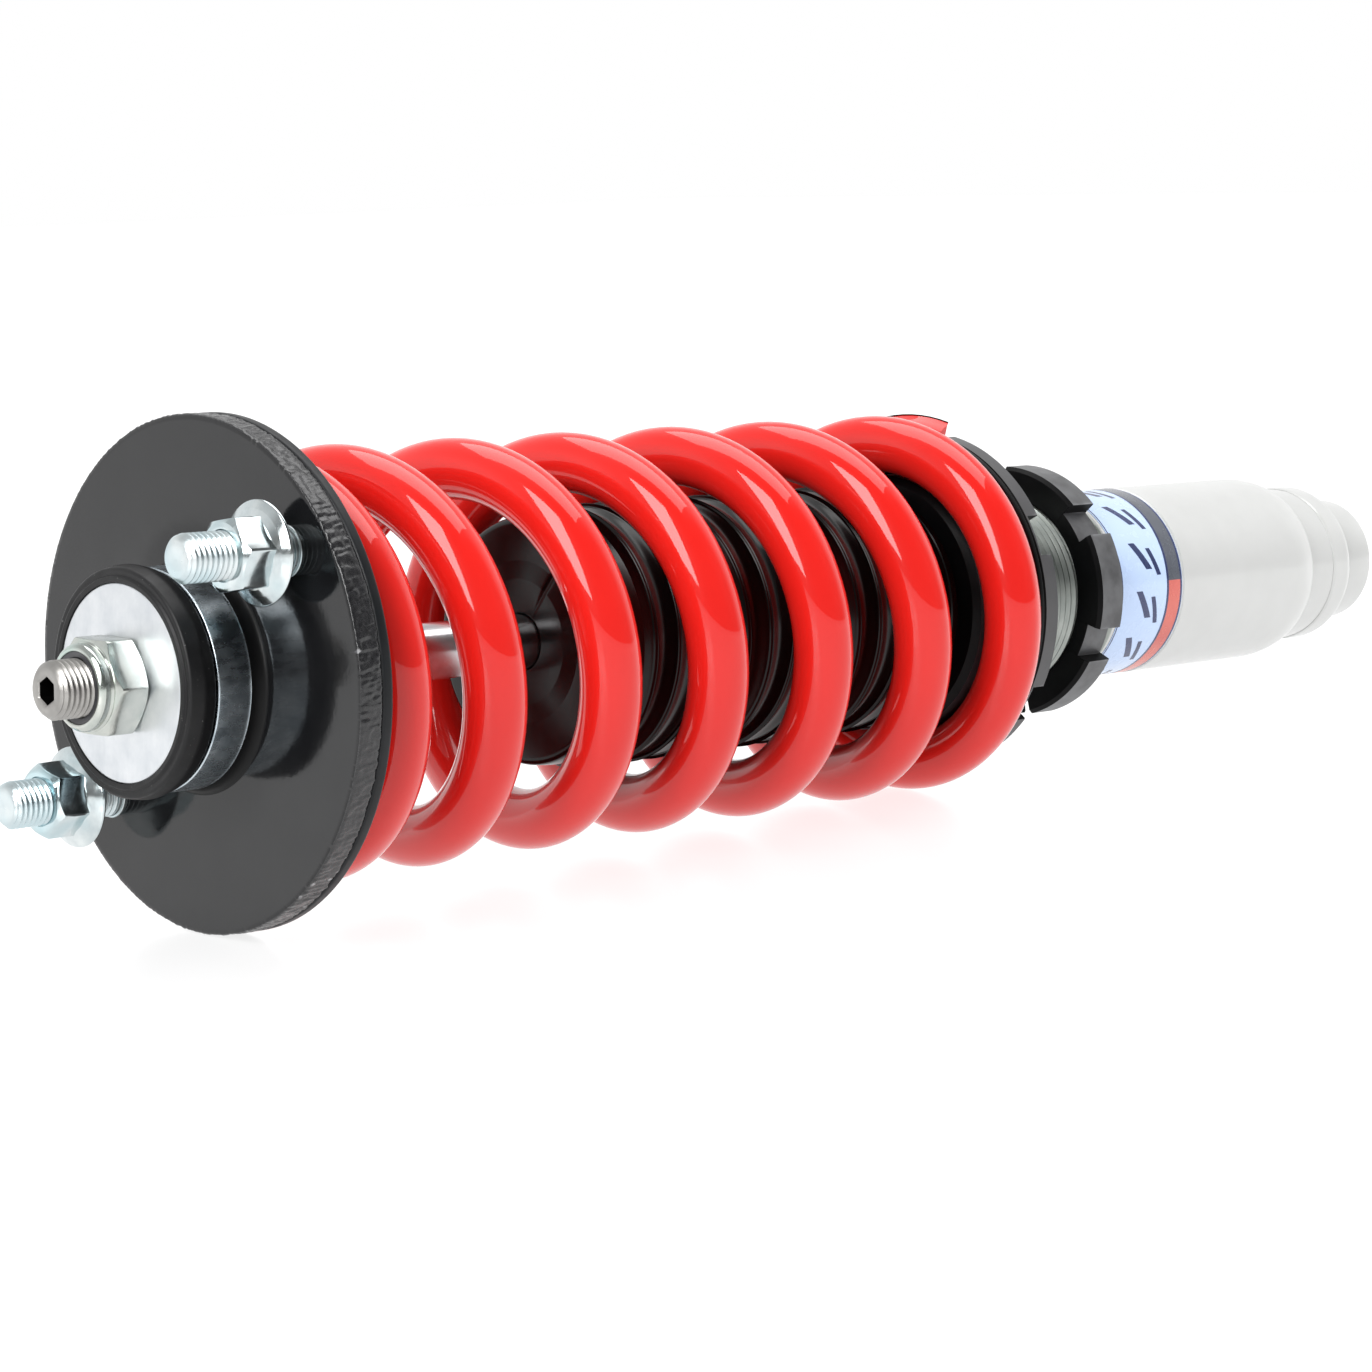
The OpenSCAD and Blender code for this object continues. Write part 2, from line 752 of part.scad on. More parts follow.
module spring_perch() {
    outer = perch_d / 2;
    hub_r = perch_hub_d / 2;
    hub_x = perch_x - perch_hub_h;
    color(gloss_black) difference() {
        turned([
            [adjuster_bore_r, hub_x], [hub_r - 1.5, hub_x], [hub_r, hub_x + 1.5], [hub_r, perch_x],
            [outer - 0.8, perch_x], [outer, perch_x + 0.8], [outer, perch_end - 0.4],
            [outer - 0.4, perch_end], [adjuster_bore_r, perch_end]
        ]);
        notches(perch_x + 1.4, perch_end + eps, outer, perch_notch_depth, perch_notch_angle, perch_notch_turn);
    }
}

module lock_ring() {
    outer = ring_d / 2;
    ring_end = ring_start + ring_t;
    color(gloss_black) difference() {
        turned([
            [adjuster_bore_r, ring_start], [outer - 0.9, ring_start], [outer, ring_start + 0.9],
            [outer, ring_end - 0.4], [outer - 0.4, ring_end], [adjuster_bore_r, ring_end]
        ]);
        notches(ring_start - eps, ring_end + eps, outer, ring_notch_depth, ring_notch_angle, ring_notch_turn);
    }
}

top_plate();
bushing_housing();
upper_bushing();
lower_bushing();
bushing_sleeve();
upper_washer();
lower_washer();
rod_nut();
rod_nut_insert();
mount_studs();
stud_nuts();
spring_isolator();
coil_spring();
piston_rod();
rebound_bumper();
piston();
piston_band();
compression_shims();
rebound_shims();
piston_nut();
bump_stop();
dust_boot();
body_tube();
lower_cap();
fill_plug();
gland_nut();
rod_wiper();
rod_guide();
rod_seal();
guide_oring();
floating_piston();
floating_oring();
label_band();
seat_washer();
spring_perch();
lock_ring();
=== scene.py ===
"""Coilover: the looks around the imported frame.

Shapes are in millimetres here and become metres in the meshes.
"""

import math

import bmesh
import bpy
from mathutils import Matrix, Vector, noise


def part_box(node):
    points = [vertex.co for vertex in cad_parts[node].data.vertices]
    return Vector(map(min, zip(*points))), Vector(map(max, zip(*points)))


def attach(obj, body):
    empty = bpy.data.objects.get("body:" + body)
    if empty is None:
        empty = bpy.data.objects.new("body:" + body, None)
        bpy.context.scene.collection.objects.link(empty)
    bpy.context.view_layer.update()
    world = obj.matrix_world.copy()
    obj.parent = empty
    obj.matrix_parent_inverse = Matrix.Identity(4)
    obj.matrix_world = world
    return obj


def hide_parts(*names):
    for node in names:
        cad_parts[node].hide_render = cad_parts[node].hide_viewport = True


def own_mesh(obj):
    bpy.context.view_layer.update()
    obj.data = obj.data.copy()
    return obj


MM = 0.001
TAU = 2 * math.pi

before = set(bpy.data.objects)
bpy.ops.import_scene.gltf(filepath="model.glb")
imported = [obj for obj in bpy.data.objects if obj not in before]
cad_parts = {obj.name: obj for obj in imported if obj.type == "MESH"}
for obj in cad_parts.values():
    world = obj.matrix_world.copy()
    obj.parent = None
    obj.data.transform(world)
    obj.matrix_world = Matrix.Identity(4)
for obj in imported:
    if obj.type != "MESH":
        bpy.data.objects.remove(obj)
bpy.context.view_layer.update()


def span(node):
    """A node's place along X and its outer radius, in millimetres."""
    lo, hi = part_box(node)
    return lo[0] / MM, hi[0] / MM, hi[1] / MM


# ---------------------------------------------------------------- material tools


def material(name, color, metallic=0.0, roughness=0.4, coat=0.0, coat_roughness=0.05, specular=0.5):
    """A Principled material and its node tree. Uniform values go on the shader's own sockets."""
    m = bpy.data.materials.new(name)
    m.use_nodes = True
    tree = m.node_tree
    shader = tree.nodes["Principled BSDF"]
    shader.inputs["Base Color"].default_value = (*color, 1)
    shader.inputs["Metallic"].default_value = metallic
    shader.inputs["Roughness"].default_value = roughness
    shader.inputs["Coat Weight"].default_value = coat
    shader.inputs["Coat Roughness"].default_value = coat_roughness
    shader.inputs["Specular IOR Level"].default_value = specular
    shader.inputs["IOR"].default_value = 1.5
    m.diffuse_color = (*color, 1)
    return m, tree, shader


def add(tree, kind, inputs=None, **settings):
    """A shader node: inputs are set on its sockets, and settings on the node itself."""
    node = tree.nodes.new(kind)
    for key, value in settings.items():
        setattr(node, key, value)
    for socket, value in (inputs or {}).items():
        node.inputs[socket].default_value = value
    return node


def place(tree, stretch=(1, 1, 1)):
    """Object coordinates, stretched, so that grain can run along or across a piece."""
    coords = add(tree, "ShaderNodeTexCoord")
    mapping = add(tree, "ShaderNodeMapping", {"Scale": stretch})
    tree.links.new(coords.outputs["Object"], mapping.inputs["Vector"])
    return mapping.outputs["Vector"]


def ramp(tree, source, stops):
    """A colour ramp with stops of (place, grey or colour)."""
    node = add(tree, "ShaderNodeValToRGB")
    while len(node.color_ramp.elements) < len(stops):
        node.color_ramp.elements.new(0.5)
    for element, (at, value) in zip(node.color_ramp.elements, stops):
        element.position = at
        element.color = (*value, 1) if isinstance(value, tuple) else (value, value, value, 1)
    tree.links.new(source, node.inputs["Fac"])
    return node.outputs["Color"]


def grain(tree, where, scale, detail=4.0, rough=0.55):
    """Noise from 0 to 1 at the places in where."""
    node = add(tree, "ShaderNodeTexNoise", {"Scale": scale, "Detail": detail, "Roughness": rough})
    tree.links.new(where, node.inputs["Vector"])
    return node.outputs["Fac"]


def bump(tree, shader, *layers):
    """Bump layers of (height, strength, distance in mm), stacked."""
    last = None
    for height, strength, distance in layers:
        node = add(tree, "ShaderNodeBump", {"Strength": strength, "Distance": distance * MM})
        tree.links.new(height, node.inputs["Height"])
        if last is not None:
            tree.links.new(last, node.inputs["Normal"])
        last = node.outputs["Normal"]
    tree.links.new(last, shader.inputs["Normal"])
    return last


def mix(tree, factor, a, b):
    """Colour a where factor is 0 and colour b where it is 1."""
    node = add(tree, "ShaderNodeMix", data_type="RGBA")
    tree.links.new(factor, node.inputs["Factor"])
    for value, socket in ((a, node.inputs[6]), (b, node.inputs[7])):
        if isinstance(value, tuple):
            socket.default_value = (*value, 1)
        else:
            tree.links.new(value, socket)
    return node.outputs[2]


def wear(tree, where, low, high):
    """A mask that is 1 along convex edges, broken up by noise."""
    geometry = add(tree, "ShaderNodeNewGeometry")
    edge = ramp(tree, geometry.outputs["Pointiness"], [(low, 0.0), (high, 1.0)])
    broken = ramp(tree, grain(tree, where, 180, 3), [(0.35, 0.0), (0.6, 1.0)])
    both = add(tree, "ShaderNodeMath", operation="MULTIPLY")
    tree.links.new(edge, both.inputs[0])
    tree.links.new(broken, both.inputs[1])
    return both.outputs["Value"]


def painted(name, dark, light, rough=(0.2, 0.3), coat=0.0, peel=0.15, peel_scale=700, spots=90, worn=None,
            metallic=0.0, specular=0.5, coat_roughness=0.05):
    """Paint or powder coat: a slow change of tone, uneven gloss, orange peel and, if asked, worn edges.

    worn is (colour, low, high): the colour of the worn edges, and where their mask starts and is full.
    """
    m, tree, shader = material(name, light, metallic, sum(rough) / 2, coat, coat_roughness, specular)
    where = place(tree)
    tone = ramp(tree, grain(tree, where, spots, 5), [(0.3, dark), (0.7, light)])
    gloss = ramp(tree, grain(tree, where, spots * 3, 4), [(0.3, rough[0]), (0.7, rough[1])])
    if worn:
        color, low, high = worn
        tone = mix(tree, wear(tree, where, low, high), tone, color)
    tree.links.new(tone, shader.inputs["Base Color"])
    tree.links.new(gloss, shader.inputs["Roughness"])
    last = bump(
        tree, shader,
        (grain(tree, where, peel_scale, 2), peel, 0.05),
        (grain(tree, where, peel_scale * 4, 2), peel * 0.5, 0.01),
    )
    if coat:
        tree.links.new(last, shader.inputs["Coat Normal"])
    return m


def metal(name, dark, light, rough=(0.15, 0.35), stretch=(1, 1, 1), lines=900, depth=0.2, spots=160,
          distance=0.02, tint=None):
    """Bare or plated metal: grain lines along the stretch, cloudy gloss and a faint change of tone."""
    m, tree, shader = material(name, light, 1.0, sum(rough) / 2)
    where = place(tree)
    lined = place(tree, stretch)
    tone = ramp(tree, grain(tree, where, spots, 5), [(0.3, dark), (0.7, light)])
    if tint:
        clouds = ramp(tree, grain(tree, where, spots * 0.4, 2), [(0.45, 0.0), (0.7, 1.0)])
        tone = mix(tree, clouds, tone, tint)
    gloss = ramp(tree, grain(tree, lined, lines, 4), [(0.25, rough[0]), (0.75, rough[1])])
    tree.links.new(tone, shader.inputs["Base Color"])
    tree.links.new(gloss, shader.inputs["Roughness"])
    bump(
        tree, shader,
        (grain(tree, lined, lines, 3), depth, distance),
        (grain(tree, where, spots * 8, 2), depth * 0.5, 0.01),
    )
    return m


def rubbery(name, dark, light, rough=(0.45, 0.6), pits=1500, depth=0.25, specular=0.4, dust=0.0):
    """Rubber or foam: a mottled tone, fine pits and, if asked, specks of dust."""
    m, tree, shader = material(name, light, 0.0, sum(rough) / 2, specular=specular)
    where = place(tree)
    tone = ramp(tree, grain(tree, where, 120, 6), [(0.3, dark), (0.75, light)])
    if dust:
        specks = ramp(tree, grain(tree, where, 1100, 2, 0.8), [(0.70, 0.0), (0.76, dust)])
        tone = mix(tree, specks, tone, (0.5, 0.5, 0.48))
    gloss = ramp(tree, grain(tree, where, 300, 4), [(0.3, rough[0]), (0.7, rough[1])])
    tree.links.new(tone, shader.inputs["Base Color"])
    tree.links.new(gloss, shader.inputs["Roughness"])
    bump(tree, shader, (grain(tree, where, pits, 3), depth, 0.04), (grain(tree, where, 140, 3), depth, 0.15))
    return m


# ---------------------------------------------------------------- materials


def top_mount_materials():
    """Black paint on the plate, with a darker copy on its neck as painted shade, bright zinc on the
    fasteners, and rubber.
    """
    return {
        "plate": painted(
            "plate_paint", (0.005, 0.0052, 0.006), (0.008, 0.0082, 0.009), (0.08, 0.12), peel=0.17,
            peel_scale=800, worn=((0.10, 0.10, 0.11), 0.56, 0.66), specular=0.48,
        ),
        # A darker, duller copy of the plate paint for the neck: painted shade in the groove between the
        # housing and the plate
        "neck": painted(
            "neck_shade_paint", (0.003, 0.003, 0.0032), (0.005, 0.005, 0.0055), (0.34, 0.42), peel=0.1,
            peel_scale=420, specular=0.2,
        ),
        "rim": painted(
            "plate_rim_paint", (0.005, 0.005, 0.006), (0.024, 0.024, 0.026), (0.16, 0.36), peel=1.0,
            peel_scale=1100, spots=1400, worn=((0.40, 0.40, 0.41), 0.55, 0.64), specular=0.7,
        ),
        "housing": metal(
            "housing_dark", (0.42, 0.49, 0.54), (0.78, 0.86, 0.91), (0.18, 0.36), (0.4, 1, 1), lines=500,
            depth=0.11, spots=260,
        ),
        "zinc": metal(
            "zinc_plate", (0.54, 0.61, 0.63), (0.80, 0.85, 0.85), (0.09, 0.19), depth=0.10,
            tint=(0.50, 0.66, 0.70),
        ),
        "zinc_thread": metal(
            "zinc_threads", (0.60, 0.67, 0.69), (0.78, 0.82, 0.82), (0.26, 0.36), depth=0.05,
            tint=(0.54, 0.68, 0.72),
        ),
        "zinc_nut": metal(
            "zinc_yellowish", (0.50, 0.53, 0.50), (0.70, 0.71, 0.66), (0.14, 0.26), depth=0.12,
            tint=(0.48, 0.60, 0.56),
        ),
        "zinc_flat": metal(
            "zinc_washer", (0.64, 0.67, 0.70), (0.78, 0.80, 0.82), (0.32, 0.48), (1, 1, 0.12), lines=1600,
            depth=0.25, distance=0.03,
        ),
        "rubber": rubbery(
            "bushing_rubber", (0.004, 0.004, 0.0045), (0.009, 0.009, 0.010), (0.38, 0.50), specular=0.33,
            dust=0.3,
        ),
        "isolator": rubbery(
            "isolator_skin", (0.006, 0.007, 0.008), (0.012, 0.013, 0.015), (0.34, 0.46), pits=900, depth=0.12,
            specular=0.3,
        ),
        "nylon": painted(
            "nylon_skin", (0.03, 0.03, 0.035), (0.06, 0.06, 0.065), (0.3, 0.42), peel=0.1, peel_scale=900,
        ),
    }


def rod_and_spring_materials():
    """The rod's steels, a near-black painted shade for its socket, the glossy red spring, the boot and what
    is hidden inside.
    """
    return {
        "turned": metal(
            "turned_steel", (0.30, 0.29, 0.28), (0.44, 0.43, 0.41), (0.30, 0.42), (6, 0.4, 0.4), depth=0.25,
        ),
        # Near-black for the inside of the rod's hex socket: painted shade in the recess
        "socket_shade": painted(
            "socket_shade_black", (0.001, 0.001, 0.001), (0.003, 0.003, 0.003), (0.5, 0.6), peel=0.1,
            peel_scale=900, specular=0.05,
        ),
        "chrome": metal(
            "hard_chrome", (0.66, 0.66, 0.68), (0.74, 0.74, 0.75), (0.17, 0.21), (8, 0.3, 0.3), depth=0.008,
        ),
        "steel": metal(
            "inner_steel", (0.42, 0.42, 0.42), (0.58, 0.58, 0.57), (0.28, 0.42), (5, 0.4, 0.4), lines=700,
            depth=0.25,
        ),
        "alu": metal(
            "inner_aluminium", (0.62, 0.63, 0.64), (0.78, 0.78, 0.79), (0.25, 0.38), (5, 0.4, 0.4), lines=700,
        ),
        "red": painted(
            "spring_paint", (0.74, 0.015, 0.011), (0.77, 0.017, 0.012), (0.30, 0.34), coat=1.0, peel=0.02,
            peel_scale=110, spots=30, specular=0.1, coat_roughness=0.02,
        ),
        "boot": painted(
            "boot_skin", (0.0015, 0.0015, 0.0015), (0.0025, 0.0025, 0.0025), (0.19, 0.23), peel=0.01,
            peel_scale=500, specular=0.3,
        ),
        "foam": rubbery(
            "bump_foam", (0.10, 0.10, 0.10), (0.20, 0.20, 0.20), (0.75, 0.9), pits=2600, depth=0.6,
            specular=0.2,
        ),
        "band": painted(
            "bronze_band", (0.20, 0.12, 0.06), (0.30, 0.19, 0.10), (0.4, 0.55), peel=0.2, peel_scale=900,
        ),
    }


def body_materials():
    """The silver body with its thread and label, and the black rings, with a lighter copy of the black on
    their outward rims as painted light.
    """
    print_finish = {"rough": (0.22, 0.30), "coat": 0.3, "peel": 0.05, "peel_scale": 900}
    return {
        "anodised": painted(
            "anodised_black", (0.002, 0.002, 0.0022), (0.004, 0.004, 0.0045), (0.30, 0.40), peel=0.05,
            peel_scale=1400, specular=0.12,
        ),
        # A lighter copy of the black anodising for the rings' outward rims: a painted sheen of light, with
        # real worn edges on top
        "anodised_lit_rim": painted(
            "anodised_lit_rim", (0.052, 0.052, 0.055), (0.072, 0.073, 0.076), (0.36, 0.44), peel=0.05,
            peel_scale=1400, worn=((0.34, 0.35, 0.37), 0.55, 0.64), specular=0.7,
        ),
        "silver": painted(
            "silver_paint", (0.62, 0.625, 0.615), (0.65, 0.655, 0.645), (0.30, 0.38), coat=0.6, peel=0.02,
            peel_scale=500, metallic=0.15, coat_roughness=0.12,
        ),
        "thread": metal(
            "thread_zinc", (0.33, 0.36, 0.34), (0.47, 0.50, 0.47), (0.34, 0.44), (6, 0.4, 0.4), lines=500,
            depth=0.02,
        ),
        "label": painted(
            "label_film", (0.55, 0.70, 0.99), (0.57, 0.72, 1.0), (0.22, 0.30), coat=0.6, peel=0.005,
            peel_scale=500, coat_roughness=0.12,
        ),
        "label_navy": painted("label_navy", (0.020, 0.030, 0.10), (0.035, 0.05, 0.15), **print_finish),
        "label_coral": painted("label_coral", (0.62, 0.11, 0.09), (0.75, 0.17, 0.13), **print_finish),
        "label_grey": painted("label_grey", (0.08, 0.09, 0.11), (0.13, 0.14, 0.17), **print_finish),
    }


MATERIALS = {**top_mount_materials(), **rod_and_spring_materials(), **body_materials()}


# ---------------------------------------------------------------- mesh tools


def settle(bm, name, mat, body, replaces=(), sharp=32, bevel=None):
    """Turns a bmesh in millimetres into a piece: cleaned, shaded, with its material and body, in place of the
    CAD nodes it replaces.
    """
    bmesh.ops.remove_doubles(bm, verts=bm.verts, dist=1e-4)
    bmesh.ops.dissolve_degenerate(bm, edges=bm.edges, dist=1e-5)
    bmesh.ops.recalc_face_normals(bm, faces=bm.faces)
    for f in bm.faces:
        f.smooth = True
    limit = math.radians(sharp)
    for e in bm.edges:
        if len(e.link_faces) == 2 and e.calc_face_angle(0) > limit:
            e.smooth = False
    bmesh.ops.scale(bm, vec=(MM, MM, MM), verts=bm.verts)
    mesh = bpy.data.meshes.new(name)
    bm.to_mesh(mesh)
    bm.free()
    piece = bpy.data.objects.new(name, mesh)
    bpy.context.scene.collection.objects.link(piece)
    for m in mat if isinstance(mat, list) else [mat]:
        mesh.materials.append(MATERIALS[m])
    if bevel:
        mod = piece.modifiers.new("edges", "BEVEL")
        mod.width = bevel * MM
        mod.segments = 2
        mod.limit_method = "ANGLE"
        mod.angle_limit = math.radians(60)
    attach(piece, body)
    if replaces:
        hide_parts(*replaces)
    return piece


def rounded(points, steps=5):
    """An outline of (x, r) or (x, r, fillet) points, each fillet drawn as an arc."""
    out = []
    count = len(points)
    for i, p in enumerate(points):
        size = p[2] if len(p) > 2 else 0
        here = Vector(p[:2])
        if not size:
            out.append(tuple(here))
            continue
        a = Vector(points[i - 1][:2]) - here
        b = Vector(points[(i + 1) % count][:2]) - here
        half = a.angle(b) / 2
        back = min(size / math.tan(half), a.length * 0.49, b.length * 0.49)
        size = back * math.tan(half)
        start = here + a.normalized() * back
        end = here + b.normalized() * back
        centre = here + (a.normalized() + b.normalized()).normalized() * (size / math.sin(half))
        u, v = start - centre, end - centre
        turn = u.angle_signed(v)
        for s in range(steps + 1):
            k = -turn * s / steps
            x = centre.x + u.x * math.cos(k) - u.y * math.sin(k)
            r = centre.y + u.x * math.sin(k) + u.y * math.cos(k)
            out.append((x, r))
    return out


def at_angle(x, r, a):
    """The point at x along the axis, r away from it, at angle a."""
    return x, r * math.cos(a), r * math.sin(a)


def skin(columns, closed=True, around=True, bm=None):
    """Faces between columns of points. closed joins each column's ends, and around the last to the first."""
    bm = bm or bmesh.new()
    made = [[bm.verts.new(p) for p in column] for column in columns]
    rows = len(columns[0])
    for i in range(len(made) if around else len(made) - 1):
        column, after = made[i], made[(i + 1) % len(made)]
        for j in range(rows if closed else rows - 1):
            k = (j + 1) % rows
            bm.faces.new((column[j], column[k], after[k], after[j]))
    return bm


def turned(points, segments=192, closed=True, shape=None, bm=None):
    """An outline of (x, r) points turned about X. shape(x, r, angle) may move a point."""
    columns = []
    for i in range(segments):
        a = TAU * i / segments
        moved = [shape(x, r, a) for x, r in points] if shape else points
        columns.append([at_angle(x, r, a) for x, r in moved])
    return skin(columns, closed, bm=bm)


FINE_PITCH = 1.25
# A thread's profile over one pitch: how far along, and the share of the depth that it is cut to
THREAD = [
    (0.0, 0.05), (0.05, 0.0), (0.14, 0.0), (0.19, 0.05), (0.50, 0.93), (0.56, 1.0), (0.64, 1.0), (0.69, 0.93),
]


def thread(x0, x1, radius, pitch, depth, end_r, limit=None, segments=144, bm=None):
    """A right-hand thread as one open skin from x0 to x1, its ends drawn in to end_r."""
    turns = math.ceil((x1 - x0) / pitch) + 2
    columns = []
    for i in range(segments + 1):
        column = []
        for turn in range(turns):
            for phase, drop in THREAD:
                x = x0 + pitch * (turn - 1 + phase + i / segments)
                r = radius - depth * drop
                if x <= x0 or x >= x1:
                    x, r = min(max(x, x0), x1), end_r
                if limit:
                    r = min(r, limit(x))
                column.append(at_angle(x, r, TAU * i / segments))
        columns.append(column)
    return skin(columns, False, False, bm)


def hex_radius(angle, flats, turn, soft=0.12):
    """How far a hexagon reaches at an angle. Its rounded corners are at turn + 60 degrees times n."""
    a = (math.degrees(angle) - turn) % 60 - 30
    reach = flats / 2 / math.cos(math.radians(a))
    return min(reach, flats / math.sqrt(3) - soft)


def hexagon(x0, x1, flats, hole, turn, face, back=False, bm=None, lean=30):
    """A nut's hexagon along X with a bore, its corners cut back by a cone in front and, if asked, behind.

    face is the radius where the cone meets the nut's face, and lean is the cone's slope in degrees.
    """
    slope = math.tan(math.radians(lean))
    segments = 240
    columns = []
    for i in range(segments):
        a = TAU * i / segments
        reach = hex_radius(a, flats, turn)
        inside = min(reach, face)
        cut = max(0.0, reach - face) * slope
        cut_back = cut if back else 0
        low = inside if back else reach
        outline = [
            (x0 + 0.5, hole), (x0, hole + 0.5), (x0, inside - 0.25), (x0 + 0.06, inside - 0.02),
            (x0 + cut + 0.02, reach - 0.03), (x0 + cut + 0.12, reach),
            (x1 - cut_back - 0.12, reach), (x1 - cut_back - 0.02, reach - 0.03),
            (x1 - 0.06, low - 0.02), (x1, low - 0.25), (x1, hole + 0.3), (x1 - 0.3, hole),
        ]
        columns.append([at_angle(x, r, a) for x, r in outline])
    return skin(columns, bm=bm)


# ---------------------------------------------------------------- top mount

# The plate's outer face is at X = 0, and its neck stands out towards -X
NECK_X = -3.2
NECK_ROOT_R = 24.5
NECK_FLARE = 1.5
PLATE_BORE_R = 20.5
HOUSING_BORE_R = 18.0
WEB_X0, WEB_X1 = -1.5, 1.0

plate_x1 = span("spring_isolator")[0]
plate_r = span("top_plate")[2]
housing_x0, _, housing_r = span("bushing_housing")
washer_x0, washer_x1, washer_r = span("upper_washer")


def plate_rim(x, r, a):
    """The flame-cut rim: fine drag lines across the edge and a little waviness."""
    if r < plate_r - 0.4:
        return x, r
    lines = noise.noise(Vector((math.cos(a + x * 0.004) * 75, math.sin(a + x * 0.004) * 75, x * 0.25)))
    chips = noise.noise(Vector((math.cos(a) * 40, math.sin(a) * 40, 7 + x * 1.1)))
    waves = noise.noise(Vector((math.cos(a) * 12, math.sin(a) * 12, 3.0 + x * 0.3)))
    return x + 0.12 * chips, r - 0.22 + 0.20 * lines + 0.16 * chips + 0.08 * waves


def top_plate():
    """The black plate: a smooth face, a rough rim and a flared neck."""
    neck = [
        (NECK_X * (1 - math.cos(math.radians(a))), NECK_ROOT_R - NECK_FLARE * math.sin(math.radians(a)))
        for a in range(0, 91, 10)
    ]
    edge_rows = 10
    edge = [(plate_x1 - 0.4 - (plate_x1 - 0.8) * i / edge_rows, plate_r) for i in range(edge_rows + 1)]
    outline = [
        (plate_x1, PLATE_BORE_R), (plate_x1, plate_r - 1.2), (plate_x1, plate_r - 0.5),
        (plate_x1 - 0.15, plate_r - 0.12), *edge, (0.15, plate_r - 0.12), (0.0, plate_r - 0.5),
        (0.0, plate_r - 1.4), (0.0, 44), (0.0, 36), *neck, (NECK_X, PLATE_BORE_R),
    ]
    bm = turned(outline, 1080, shape=plate_rim)
    # The rim's faces take the rim paint, and the neck's faces the darker copy as painted shade
    for f in bm.faces:
        radii = [v.co.yz.length for v in f.verts]
        if min(radii) > plate_r - 0.75:
            f.material_index = 1
        elif max(radii) < NECK_ROOT_R + 0.1:
            f.material_index = 2
    settle(bm, "top_plate_skin", ["plate", "rim", "neck"], "top_mount", ["top_plate"], 55)


def housing_wobble(x, r, a):
    """The housing's outside is a little uneven."""
    if r < housing_r - 0.6:
        return x, r
    return x, r - 0.05 + 0.05 * noise.noise(Vector((math.cos(a) * 5, math.sin(a) * 5, x * 0.25)))


def bushing_housing():
    """The ring that stands out of the neck, with a web inside between the two bushings."""
    outline = rounded([
        (housing_x0, HOUSING_BORE_R), (housing_x0, housing_r, 0.35), (NECK_X - 0.9, housing_r),
        (NECK_X - 0.35, housing_r - 0.12), (NECK_X, housing_r), (NECK_X, PLATE_BORE_R),
        (plate_x1, PLATE_BORE_R), (plate_x1, HOUSING_BORE_R), (WEB_X1, HOUSING_BORE_R), (WEB_X1, 9.5),
        (WEB_X0, 9.5), (WEB_X0, HOUSING_BORE_R),
    ])
    bm = turned(outline, 240, shape=housing_wobble)
    settle(bm, "housing_skin", "housing", "top_mount", ["bushing_housing"])


def upper_bushing():
    """The rubber bulge between the washer and the housing, with a lip round the washer's edge."""
    x0, _, bulge_r = span("upper_bushing")
    bulge_x = -15.1
    outline = rounded([
        (WEB_X0, 8), (washer_x1, 8), (washer_x1, washer_r), (x0 + 0.1, washer_r, 0.15),
        (x0, washer_r + 1.1, 0.45), (x0 + 0.55, washer_r + 1.55, 0.3), (x0 + 0.35, bulge_r - 0.6, 1.9),
        (bulge_x, bulge_r, 3.0), (housing_x0 - 0.25, bulge_r - 0.9, 1.7), (housing_x0, 19.5),
        (housing_x0, HOUSING_BORE_R), (WEB_X0, HOUSING_BORE_R),
    ], 8)
    settle(turned(outline, 240), "upper_bushing_skin", "rubber", "top_mount", ["upper_bushing"])


def upper_washer():
    """The flat zinc washer under the rod nut."""
    bore_r = 6.02
    outline = rounded([
        (washer_x0, bore_r), (washer_x0, washer_r, 0.45), (washer_x1, washer_r, 0.3), (washer_x1, bore_r),
    ])
    settle(turned(outline, 240), "upper_washer_skin", "zinc_flat", "top_mount", ["upper_washer"])


def rod_nut():
    """A chamfered hexagon and a rolled collar with a nylon ring inside."""
    nut_x0 = span("rod_nut")[0]
    hex_x0 = span("rod_nut_insert")[1] - 0.1
    bm = hexagon(hex_x0, washer_x0, flats=19.0, hole=7.0, turn=0, face=9.35, back=True)
    collar = rounded([
        (hex_x0 + 0.3, 6.4), (hex_x0 + 0.3, 9.05), (hex_x0 - 0.05, 9.05, 0.25), (hex_x0 - 0.45, 8.75, 0.3),
        (nut_x0 + 0.9, 8.85, 0.9), (nut_x0, 8.0, 0.7), (nut_x0 + 0.1, 7.35, 0.3), (nut_x0 + 0.7, 7.3),
    ])
    turned(collar, 192, bm=bm)
    settle(bm, "rod_nut_skin", "zinc_nut", "top_mount", ["rod_nut"], 24)
    ring = rounded([
        (nut_x0 + 0.5, 6.05, 0.2), (nut_x0 + 0.35, 7.35, 0.2), (hex_x0 + 0.1, 7.5), (hex_x0 + 0.1, 6.05),
    ])
    settle(turned(ring, 144), "nylon_ring_skin", "nylon", "top_mount", ["rod_nut_insert"])


